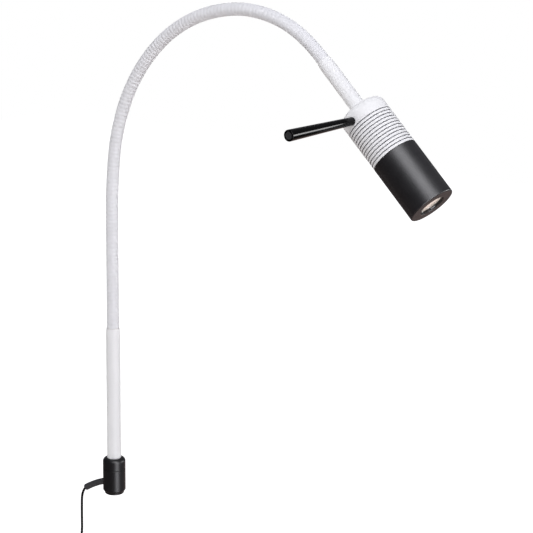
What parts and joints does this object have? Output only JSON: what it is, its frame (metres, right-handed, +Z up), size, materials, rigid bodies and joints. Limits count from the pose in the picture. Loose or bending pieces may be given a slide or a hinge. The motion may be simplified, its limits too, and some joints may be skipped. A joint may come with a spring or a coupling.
{
  "type": "examination lamp",
  "caption": "Gooseneck examination lamp: a swivelling pin-mounted arm bends over to a cylindrical focusing spot head with a side handle, fed by a hanging low-voltage lead.",
  "frame": {"origin": "centre of the mouth of the pin socket, at the underside of the adapter", "axes": "+Z up along the pin and the upright part of the arm, +X towards the lamp head, -Y along the handle"},
  "size_m": [0.7055, 0.207, 1.0266],
  "materials": {
    "adapter_plastic": "satin moulded black",
    "liner_bronze": "turned",
    "plated_steel": "zinc plated",
    "washer_plastic": "matte",
    "boot_rubber": "matte",
    "lead_jacket": "satin",
    "tie_plastic": "woven hook and loop",
    "supply_plastic": "fine spark texture",
    "contact_nickel": "nickel plated",
    "white_paint": "satin powder coat",
    "core_steel": "oiled",
    "sleeve_vinyl": "satin ribbed",
    "head_black": "satin anodised black",
    "bezel_gloss": "polished black",
    "bare_aluminium": "machined",
    "circuit_board": "solder mask",
    "mirror_metal": "polished",
    "lens_glass": "polished",
    "handle_gloss": "polished black",
    "button_plastic": "satin"
  },
  "bodies": {
    "adapter": {"adapter_socket": "adapter_plastic", "adapter_base_ring": "adapter_plastic", "pin_liner": "liner_bronze", "pin_clamp_screw": "plated_steel", "swivel_shaft": "plated_steel", "friction_washer": "washer_plastic", "swivel_stop_pin": "plated_steel", "retaining_ring": "plated_steel", "strain_relief": "boot_rubber", "cord_tube": "lead_jacket", "cord_coil": "lead_jacket", "cord_tie": "tie_plastic", "cord_tail": "lead_jacket", "supply_relief": "boot_rubber", "supply_case": "supply_plastic", "mains_pins": "contact_nickel"},
    "arm_foot": {"swivel_collar": "adapter_plastic", "wave_washer": "plated_steel", "tube_set_screws": "plated_steel", "lower_tube": "white_paint", "lower_ferrule": "liner_bronze", "gooseneck_core_01": "core_steel", "gooseneck_sleeve_01": "sleeve_vinyl"},
    "link_02": {"gooseneck_core_02": "core_steel", "gooseneck_sleeve_02": "sleeve_vinyl"},
    "link_03": {"gooseneck_core_03": "core_steel", "gooseneck_sleeve_03": "sleeve_vinyl"},
    "link_04": {"gooseneck_core_04": "core_steel", "gooseneck_sleeve_04": "sleeve_vinyl"},
    "link_05": {"gooseneck_core_05": "core_steel", "gooseneck_sleeve_05": "sleeve_vinyl"},
    "link_06": {"gooseneck_core_06": "core_steel", "gooseneck_sleeve_06": "sleeve_vinyl"},
    "link_07": {"gooseneck_core_07": "core_steel", "gooseneck_sleeve_07": "sleeve_vinyl"},
    "link_08": {"gooseneck_core_08": "core_steel", "gooseneck_sleeve_08": "sleeve_vinyl"},
    "link_09": {"gooseneck_core_09": "core_steel", "gooseneck_sleeve_09": "sleeve_vinyl"},
    "link_10": {"gooseneck_core_10": "core_steel", "gooseneck_sleeve_10": "sleeve_vinyl"},
    "head": {"gooseneck_core_11": "core_steel", "gooseneck_sleeve_11": "sleeve_vinyl", "upper_ferrule": "liner_bronze", "upper_tube": "white_paint", "rear_housing": "white_paint", "clamp_nut": "plated_steel", "driver_board": "circuit_board", "heat_sink": "bare_aluminium", "led_module": "circuit_board", "reflector": "mirror_metal", "optic_barrel": "bare_aluminium", "handle": "handle_gloss", "handle_stud": "plated_steel", "button_spring": "plated_steel"},
    "front": {"front_sleeve": "head_black", "bezel_ring": "bezel_gloss"},
    "optics": {"lens_carriage": "bare_aluminium", "lens": "lens_glass"},
    "button": {"handle_button": "button_plastic"}
  },
  "joints": [
    {"name": "base_swivel", "type": "hinge", "parent": "adapter", "child": "arm_foot", "pos_m": [0, 0, 0.0412], "axis": [0, 0, 1], "range_deg": [-165, 165]},
    {"name": "lower_bend", "type": "hinge", "parent": "arm_foot", "child": "link_02", "pos_m": [0, 0, 0.365], "axis": [0, 1, 0], "range_deg": [-24, 12]},
    {"name": "lower_bend_2", "type": "hinge", "parent": "link_02", "child": "link_03", "pos_m": [0, 0, 0.4378], "axis": [0, 1, 0], "range_deg": [-24, 12]},
    {"name": "lower_side_bend", "type": "hinge", "parent": "link_03", "child": "link_04", "pos_m": [0.00191, 0, 0.51058], "axis": [-0.9969, 0, 0.0785], "range_deg": [-24, 24]},
    {"name": "lower_bend_3", "type": "hinge", "parent": "link_04", "child": "link_05", "pos_m": [0.01141, 0, 0.58275], "axis": [0, 1, 0], "range_deg": [-24, 12]},
    {"name": "lower_bend_4", "type": "hinge", "parent": "link_05", "child": "link_06", "pos_m": [0.03631, 0, 0.65116], "axis": [0, 1, 0], "range_deg": [-24, 12]},
    {"name": "upper_side_bend", "type": "hinge", "parent": "link_06", "child": "link_07", "pos_m": [0.07754, 0, 0.71116], "axis": [-0.7431, 0, 0.6691], "range_deg": [-20, 20]},
    {"name": "upper_bend", "type": "hinge", "parent": "link_07", "child": "link_08", "pos_m": [0.1329, 0, 0.75844], "axis": [0, 1, 0], "range_deg": [-24, 5]},
    {"name": "upper_bend_2", "type": "hinge", "parent": "link_08", "child": "link_09", "pos_m": [0.1994, 0, 0.78805], "axis": [0, 1, 0], "range_deg": [-24, 5]},
    {"name": "upper_side_bend_2", "type": "hinge", "parent": "link_09", "child": "link_10", "pos_m": [0.27158, 0, 0.79755], "axis": [0.0436, 0, 0.999], "range_deg": [-18, 18]},
    {"name": "upper_bend_3", "type": "hinge", "parent": "link_10", "child": "head", "pos_m": [0.34266, 0, 0.78179], "axis": [0, 1, 0], "range_deg": [-24, 5]},
    {"name": "focus_turn", "type": "hinge", "parent": "head", "child": "front", "pos_m": [0.46732, 0, 0.67941], "axis": [0.7266, 0, -0.6871], "range_deg": [0, 120]},
    {"name": "focus_slide", "type": "slide", "parent": "head", "child": "optics", "axis": [0.7266, 0, -0.6871], "range_m": [-0.008, 0]},
    {"name": "button_press", "type": "slide", "parent": "head", "child": "button", "axis": [0, 1, 0], "range_m": [0, 0.0012], "stiffness_N_per_m": 900, "springref_m": -0.0015, "deforming": ["button_spring"]}
  ],
  "couplings": [
    {"joint": "lower_bend_2", "follows": "lower_bend", "ratio": 1},
    {"joint": "lower_bend_3", "follows": "lower_bend", "ratio": 1},
    {"joint": "lower_bend_4", "follows": "lower_bend", "ratio": 1},
    {"joint": "upper_bend_2", "follows": "upper_bend", "ratio": 1},
    {"joint": "upper_bend_3", "follows": "upper_bend", "ratio": 1},
    {"joint": "upper_side_bend_2", "follows": "upper_side_bend", "ratio": 0.9},
    {"joint": "focus_slide", "follows": "focus_turn", "m_per_rad": -0.0038197}
  ]
}
